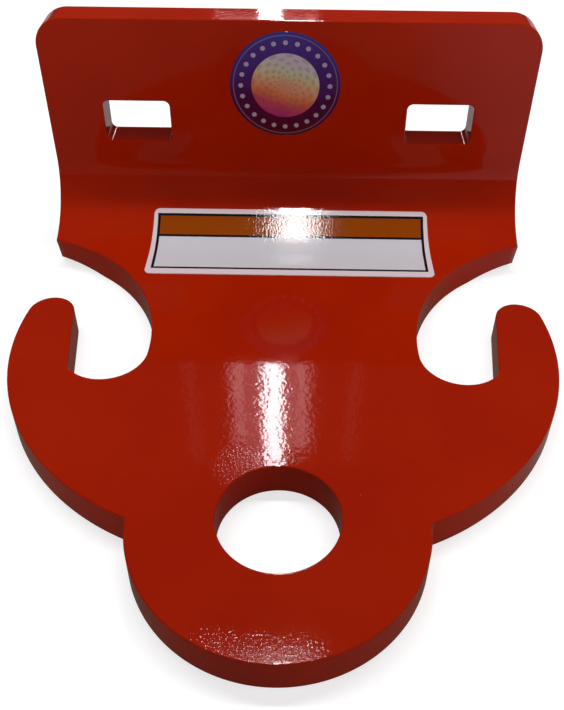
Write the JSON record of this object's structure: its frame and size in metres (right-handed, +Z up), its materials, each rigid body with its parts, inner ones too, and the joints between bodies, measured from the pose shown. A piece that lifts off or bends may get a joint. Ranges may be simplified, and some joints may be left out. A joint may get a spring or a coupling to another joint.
{
  "type": "mower trailer hitch",
  "caption": "Bent steel hitch plate for a riding mower: a drawbar with a tow hole in its round nose and side hooks, turned up into a slotted bolting flange, with a label and a round sticker.",
  "frame": {"origin": "centre of the tow hole, on the underside of the drawbar that the part lies on", "axes": "+X to the right seen from the trailer, +Y from the tow hole towards the mower and the flange, +Z up along the tow hole"},
  "size_m": [0.1292, 0.1411, 0.0658],
  "materials": {
    "painted_steel": "gloss",
    "vinyl": "satin",
    "foil": "gloss"
  },
  "bodies": {
    "root": {"hitch_plate": "painted_steel", "plate_label": "vinyl", "round_sticker": "foil"}
  },
  "joints": []
}
